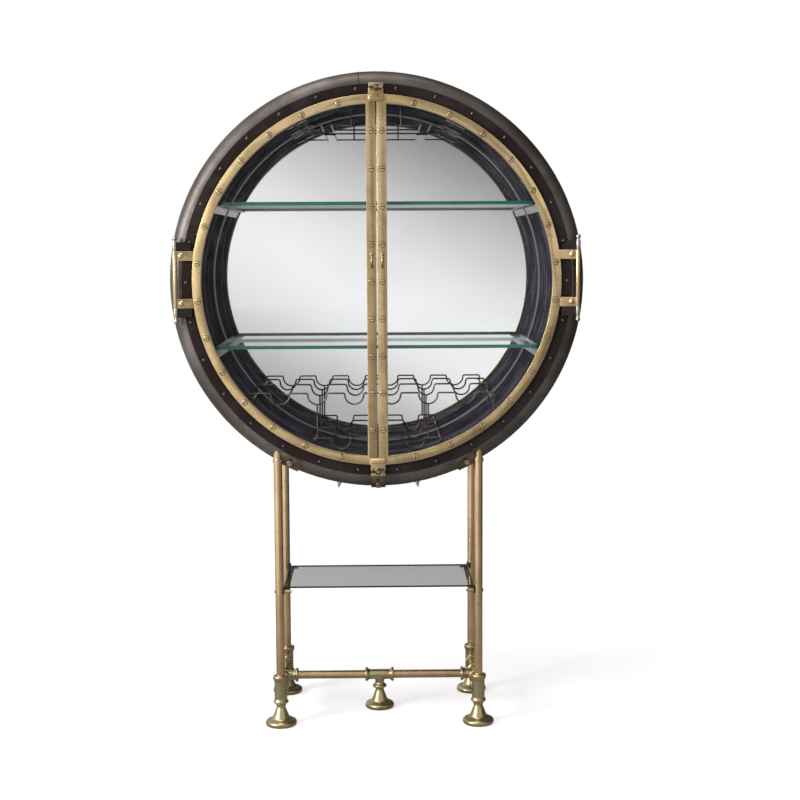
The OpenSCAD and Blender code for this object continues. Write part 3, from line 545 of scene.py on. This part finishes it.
screws = {
    "radius": 9.3, "groove": 1.3, "grooveZ": 0.12, "proud": 0.8, "slot": 2.2, "slotDeep": 0.5,
    "ringRadius": 521, "ringCount": 14, "stileX": 15.5, "stileCount": 9, "pitch": 108,
    "faceD": -8.5,
    "ringStray": 0.09, "stileStray": 0.12,  # how far the slots turn off their line, in radians
}


def placedScrew(head, turn, x, z):
    twin = copied(head, (0, 0, 0), (0, 0, turn))
    twin.rotation_euler = (math.pi / 2, 0, 0)
    twin.location = mm(x, frontY + screws["faceD"], drumZ + z)
    settle(twin)
    return twin


def makeScrews():
    r, inner = screws["radius"], screws["radius"] - screws["groove"]
    low, proud = screws["grooveZ"], screws["proud"]
    # painted shade with patina for the slots and the ring round each head
    shadeAndPatina = darkIron("slotShadeAndPatina", (0.055, 0.032, 0.015), (0.03, 0.016, 0.008), 0.6, 0.1, 30, 0.1)
    head = spun([(0, 0), (r, 0), (r, low), (inner, low), (inner - 0.1, 0.5 * proud),
                 (inner - 0.6, proud - 0.1), (inner - 1.6, proud), (0, proud)], 28)
    deselect()
    bpy.ops.mesh.primitive_cube_add(size=1, location=mm(0, 0, proud),
                                    scale=mm(2 * inner - 0.8, screws["slot"],
                                             2 * screws["slotDeep"]))
    cutter = bpy.context.object
    settle(cutter)
    change(head, "BOOLEAN", operation="DIFFERENCE", solver="EXACT", object=cutter)
    bpy.data.objects.remove(cutter)
    head.data.materials.append(finishes["polished_brass"])
    head.data.materials.append(shadeAndPatina)
    for face in head.data.polygons:  # painted shade with patina: dark in the slot and in the groove round the head
        deep = face.center.z < (proud - screws["slotDeep"] + 0.05) / 1000
        outer = face.center.xy.length > (inner - 0.2) / 1000
        face.material_index = 1 if (deep and face.normal.z > 0.5) or outer else 0
    for side, hand in (("left", -1), ("right", 1)):
        many = []
        for i in range(1, screws["ringCount"] + 1):
            angle = math.pi * i / (screws["ringCount"] + 1)
            x = hand * screws["ringRadius"] * math.sin(angle)
            z = screws["ringRadius"] * math.cos(angle)
            stray = screws["ringStray"] * math.sin(7.3 * i + 2 * hand)
            many.append(placedScrew(head, math.pi / 2 - hand * angle + stray, x, z))
        for i in range(screws["stileCount"]):
            z = (i - (screws["stileCount"] - 1) / 2) * screws["pitch"]
            stray = screws["stileStray"] * math.sin(5.1 * i + hand)
            many.append(placedScrew(head, stray, hand * screws["stileX"], z))
        finished(joined(many), side + "_slotted_screws", side + "_door", "polished_brass",
                 side + "_door_screws", angle=30)
    bpy.data.objects.remove(head)


def shapeFrom(outline, thick):  # a plate of this outline (x, y) in mm, raised along Z
    deselect()
    bpy.ops.mesh.primitive_plane_add(size=0.01)
    piece = bpy.context.object
    bpy.ops.object.mode_set(mode="EDIT")
    bpy.ops.mesh.merge(type="CENTER")
    bpy.ops.transform.translate(value=mm(outline[0][0], outline[0][1], 0))
    for (x, y), (nextX, nextY) in zip(outline, outline[1:]):
        bpy.ops.mesh.extrude_region_move(
            TRANSFORM_OT_translate={"value": mm(nextX - x, nextY - y, 0)})
    bpy.ops.mesh.select_all(action="SELECT")
    bpy.ops.mesh.edge_face_add()
    bpy.ops.mesh.extrude_region_move(TRANSFORM_OT_translate={"value": mm(0, 0, thick)})
    bpy.ops.mesh.select_all(action="SELECT")
    bpy.ops.mesh.normals_make_consistent(inside=False)
    bpy.ops.object.mode_set(mode="OBJECT")
    return piece


def taperTop(piece, height, scale, centre):  # scales what lies at or above this height
    take(piece)
    bpy.ops.object.mode_set(mode="EDIT")
    bpy.ops.mesh.select_all(action="DESELECT")
    bpy.ops.object.mode_set(mode="OBJECT")
    for vertex in piece.data.vertices:
        vertex.select = vertex.co.z > (height - 0.01) / 1000
    bpy.ops.object.mode_set(mode="EDIT")
    bpy.ops.transform.resize(value=scale, center_override=mm(*centre))
    bpy.ops.object.mode_set(mode="OBJECT")


latches = {
    "studZ": 553, "dogBack": -9.0, "nutBack": -16.3,
    "plate": [(-21.5, 13.5), (21.5, 13.5), (21.5, -17), (26, -22), (26, -38.5), (-26, -38.5),
              (-26, -22), (-21.5, -17)],
    "plateThick": 4.6, "plateEase": 0.7,
    "block": [(-26, -19), (26, -19), (26, -38.5), (-26, -38.5)],
    "blockThick": 7, "blockEase": 1.1, "blockTop": (0.74, 0.6, 1), "blockMiddle": (0, -27.5, 0),
    "boss": [(0, 0), (10.5, 0), (10.5, 6.4), (9.9, 7), (0, 7)],
    "hub": [(3.1, 0), (10, 0), (10.2, 1.4), (9.4, 3), (8.2, 7), (6.8, 10.6), (5.6, 11.4),
            (3.1, 11.4)],
    "wing": [(5, 1.5), (10, 1.6), (17, 5.4), (20.6, 9.6), (21.4, 13), (20.6, 16), (18, 16.9),
             (15, 15.6), (10.5, 11.6), (6, 10), (3.6, 8)],
    "wingThick": 6.5, "wingVoxel": 0.5,
}


def makeLatches():
    quarter = math.pi / 2
    plate = shapeFrom(latches["plate"], latches["plateThick"])
    block = shapeFrom(latches["block"], latches["blockThick"])
    taperTop(block, latches["blockThick"], latches["blockTop"], latches["blockMiddle"])
    for piece, ease in ((plate, latches["plateEase"]), (block, latches["blockEase"])):
        change(piece, "BEVEL", width=ease / 1000, segments=3, limit_method="ANGLE",
               angle_limit=math.radians(20))
    dog = joined([plate, block, spun(latches["boss"], 40)])

    hub = spun(latches["hub"] + latches["hub"][:1], 48)
    wings = []
    for hand in (1, -1):
        wing = shapeFrom([(hand * x, y) for x, y in latches["wing"]], latches["wingThick"])
        wing.location = mm(0, 0, -latches["wingThick"] / 2)
        settle(wing)
        wing.rotation_euler = (quarter, 0, 0)
        settle(wing)
        wings.append(wing)
    nut = joined([hub] + wings)
    change(nut, "REMESH", mode="VOXEL", voxel_size=latches["wingVoxel"] / 1000)
    change(nut, "SMOOTH", factor=0.5, iterations=8)

    for side, up in (("top", 1), ("bottom", -1)):
        z = drumZ + up * latches["studZ"]
        turn = 0 if up > 0 else math.pi
        one = copied(dog, (0, 0, 0), (0, 0, turn))
        one.rotation_euler = (quarter, 0, 0)
        one.location = mm(0, frontY + latches["dogBack"], z)
        finished(one, side + "_dog_plate", side + "_dog", "polished_brass", side + "_dog", angle=25)
        one = copied(nut)
        one.rotation_euler = (quarter, 0, 0)
        one.location = mm(0, frontY + latches["nutBack"], z)
        finished(one, side + "_cast_wing_nut", side + "_wing_nut", "dark_steel",
                 side + "_wing_nut", angle=180)
    for piece in (dog, nut):
        bpy.data.objects.remove(piece)


pulls = {
    "x": 15.5, "rise": 60, "arch": 16.5, "bar": 3.5, "faceD": -8.5,
    "rosette": [(0, 0), (6, 0), (6, 0.7), (5.3, 1.6), (4.3, 2.1), (3.8, 3.2), (0, 3.2)],
}


def makePulls():
    deselect()
    bpy.ops.mesh.primitive_circle_add(vertices=24, radius=pulls["bar"] / 1000,
                                      location=mm(pulls["arch"], 0, 0),
                                      rotation=(math.pi / 2, 0, 0))
    bar = bpy.context.object
    settle(bar)
    bpy.ops.object.mode_set(mode="EDIT")
    bpy.ops.mesh.select_all(action="SELECT")
    bpy.ops.mesh.spin(steps=36, angle=math.pi, center=(0, 0, 0), axis=(0, 0, 1))
    bpy.ops.mesh.select_all(action="SELECT")
    bpy.ops.mesh.fill_holes(sides=0)
    bpy.ops.mesh.select_all(action="SELECT")
    bpy.ops.mesh.normals_make_consistent(inside=False)
    bpy.ops.object.mode_set(mode="OBJECT")
    bar.rotation_euler = (math.pi, 0, 0)  # the spin ran towards -Y
    settle(bar)
    rosettes = []
    for end in (1, -1):
        rosette = spun(pulls["rosette"], 32)
        rosette.rotation_euler = (-math.pi / 2, 0, 0)
        rosette.location = mm(end * pulls["arch"], 0, 0)
        settle(rosette)
        rosettes.append(rosette)
    pull = joined([bar] + rosettes)
    upright = Matrix(((0, 0, 1, 0), (0, -1, 0, 0), (1, 0, 0, 0), (0, 0, 0, 1)))
    for side, hand in (("left", -1), ("right", 1)):
        one = copied(pull)
        spot = mm(hand * pulls["x"], frontY + pulls["faceD"], drumZ + pulls["rise"])
        one.matrix_world = Matrix.Translation(spot) @ upright
        finished(one, side + "_arched_pull", side + "_door", "polished_brass", side + "_pull",
                 angle=40)
    bpy.data.objects.remove(pull)


skinSeam = {
    "radius": 605, "shoulder": 40, "flange": 8, "caseDeep": 398,
    "x": -50, "wide": 3.2, "proud": 0.5, "thick": 0.6,
    "start": 6, "steps": 14,  # degrees up the shoulder where it begins, and its steps
    "shadeDim": 0.35,  # painted shade of the lap's step, against the sheet
}


def makeSeam():  # the lap where the skin's sheet meets itself on top
    r, shoulder, steps = skinSeam["radius"], skinSeam["shoulder"], skinSeam["steps"]
    bend = shoulder + skinSeam["proud"]
    start = skinSeam["start"]
    angles = [math.radians(start + (90 - start) * i / steps) for i in range(steps + 1)]
    profile = [(r - shoulder + bend * math.sin(angle),
                skinSeam["flange"] + shoulder - bend * math.cos(angle)) for angle in angles]
    profile += [(radius, skinSeam["caseDeep"] - depth) for radius, depth in reversed(profile)]
    deselect()
    bpy.ops.mesh.primitive_plane_add(size=0.01)
    piece = bpy.context.object
    bpy.ops.object.mode_set(mode="EDIT")
    bpy.ops.mesh.merge(type="CENTER")
    bpy.ops.transform.translate(value=mm(0, profile[0][1], profile[0][0]))
    for (a, b), (nextA, nextB) in zip(profile, profile[1:]):
        bpy.ops.mesh.extrude_region_move(
            TRANSFORM_OT_translate={"value": mm(0, nextB - b, nextA - a)})
    bpy.ops.mesh.select_all(action="SELECT")
    bpy.ops.mesh.spin(steps=4, angle=skinSeam["wide"] / r, center=(0, 0, 0), axis=(0, 1, 0))
    bpy.ops.mesh.select_all(action="SELECT")
    bpy.ops.mesh.normals_make_consistent(inside=False)
    bpy.ops.object.mode_set(mode="OBJECT")
    change(piece, "SOLIDIFY", thickness=skinSeam["thick"] / 1000, offset=0)
    piece.rotation_euler = (0, skinSeam["x"] / r, 0)
    piece.location = mm(0, frontY, drumZ)
    # the lap painted darker than the sheet: painted shade of its step
    lap = bronzeSheet("skinLap", sheetLook, skinSeam["shadeDim"])
    finished(piece, "skin_lap_joint", "case", "skin", angle=60, finish=lap)


makeLatches()
makePulls()
makeSeam()
print("latches, pulls and seam made")
makeFeet()
makeTees()
print("feet and tees cast")
makeScrews()
print("screws turned")

bevels = {  # node: (body, bevel in mm)
    "left_door_frame": ("left_door", 0.8), "right_door_frame": ("right_door", 0.8),
    "left_hinge_strap": ("left_door", 0.8), "right_hinge_strap": ("right_door", 0.8),
    "hinge_knuckles": ("case", 0.8),
    "bottom_bracket": ("case", 0.6), "leg_brackets": ("case", 0.6),
}
for node, (body, width) in bevels.items():
    bevelled(node, body, width)
print("edges eased")

cameraLook = {
    "lens": 65.78, "sensor": 36.0,
    "place": (-0.0006, -4.4335, 1.4202),
    "pitch": 0.1032, "yaw": -0.0154, "roll": -0.005,
}
cameraData = bpy.data.cameras.new("camera")
cameraData.lens, cameraData.sensor_width = cameraLook["lens"], cameraLook["sensor"]
camera = bpy.data.objects.new("camera", cameraData)
bpy.context.collection.objects.link(camera)
camera.matrix_world = (Matrix.Translation(cameraLook["place"])
                       @ Matrix.Rotation(cameraLook["yaw"], 4, "Z")
                       @ Matrix.Rotation(math.pi / 2 - cameraLook["pitch"], 4, "X")
                       @ Matrix.Rotation(cameraLook["roll"], 4, "Z"))
bpy.context.scene.camera = camera

lights = {  # name: (place, aim, size, watts)
    "key": ((-4.0, -2.7, 2.5), (0, 0, 1.2), 2.0, 150),
    "fill": ((2.6, -4.2, 2.4), (0, 0, 1.1), 2.4, 12),
    "top": ((-0.5, -0.8, 4.2), (0, 0, 1.2), 2.0, 40),
}
for name, (place, aim, size, watts) in lights.items():
    data = bpy.data.lights.new(name, "AREA")
    data.shape, data.size, data.energy = "DISK", size, watts
    lamp = bpy.data.objects.new(name, data)
    bpy.context.collection.objects.link(lamp)
    facing = (Vector(aim) - Vector(place)).to_track_quat("-Z", "Y")
    lamp.matrix_world = Matrix.Translation(place) @ facing.to_matrix().to_4x4()


studioLook = {  # brightness of what shiny surfaces see
    "dark": 0.05,  # behind and at the right
    "left": 0.62, "front": 0.25, "both": 0.26,  # added there
    "card": 1.02,  # straight in front of the doors
    "cardHigh": 0.87, "cardLow": 0.55,  # taken off towards its top and its bottom
}


def studio(made, direction):
    side, ahead, up = made.parts(direction)
    front = made.ramp(-ahead, -0.3, 0.9)
    left = made.ramp(-side, -0.35, 0.6)
    wide = (studioLook["dark"] + left * studioLook["left"]
            + front * (studioLook["front"] + left * studioLook["both"]))
    high = made.ramp(up + side * 0.45, -0.04, 0.14)
    low = made.ramp(-up - side * 0.6, 0.03, 0.20)
    card = studioLook["card"] - high * studioLook["cardHigh"] - low * studioLook["cardLow"]
    near = made.ramp(-ahead, 0.955, 0.99)
    return wide + (card - wide) * near


def raysOf(made, *kinds):
    rays = [made.node("LightPath", out="Is " + kind + " Ray") for kind in kinds]
    return rays[0] if len(rays) == 1 else (rays[0] + rays[1]).math("MINIMUM", 1.0)


roomFill = 0.42  # the room's light on the object
room = Finish(bpy.data.worlds.new("room"))
bpy.context.scene.world = room.owner
seen, glossy = raysOf(room, "Camera", "Transmission"), raysOf(room, "Glossy")
other = (1 - seen - glossy).math("MAXIMUM", 0.0)
strength = seen + glossy * studio(room, room.place("Generated")) + other * roomFill
backdrop = room.node("Background", {}, {"Color": (1, 1, 1, 1), "Strength": strength})
room.node("OutputWorld", {}, {"Surface": backdrop})

floorLook = {  # in metres and shares of white
    "size": 60,
    "near": 1.0, "far": 3.2,  # takes shadows as far as near, and is plain white from far on
    "glow": 0.52,  # its own light under the object
    "shade": 0.86, "mirrored": 0.5,  # its colour, and how much less of it reflections show
    "drum": (0, 0.1, 1.3),  # the spot that reflections see it from
}
deselect()
bpy.ops.mesh.primitive_plane_add(size=floorLook["size"], location=(0, 0, 0))
floor = bpy.context.object
floor.name = "floor"
ground = newFinish("paleFloor")
where = ground.place()
reach = ground.node("VectorMath", {"operation": "LENGTH"}, [where], out="Value")
fromDrum = ground.node("VectorMath", {"operation": "SUBTRACT"}, [where, floorLook["drum"]])
outward = ground.node("VectorMath", {"operation": "NORMALIZE"}, [fromDrum])
away = ground.ramp(reach, floorLook["near"], floorLook["far"])
seen, glossy = raysOf(ground, "Camera", "Transmission"), raysOf(ground, "Glossy")
own, full, less = floorLook["glow"], floorLook["shade"], floorLook["mirrored"]
glow = seen * (own + away * (1 - own)) + glossy * away * studio(ground, outward)
shade = full - away * full * seen - glossy * (less + away * (full - less))
ground.surface(Base_Color=ground.mix(shade, (0, 0, 0), (1, 1, 1)), Roughness=0.9,
               Specular_IOR_Level=0.0, Emission_Strength=1.0,
               Emission_Color=ground.mix(glow, (0, 0, 0), (1, 1, 1)))
floor.data.materials.append(ground.owner)
bpy.context.scene.view_settings.view_transform = "Standard"
print("camera, lamps and floor")
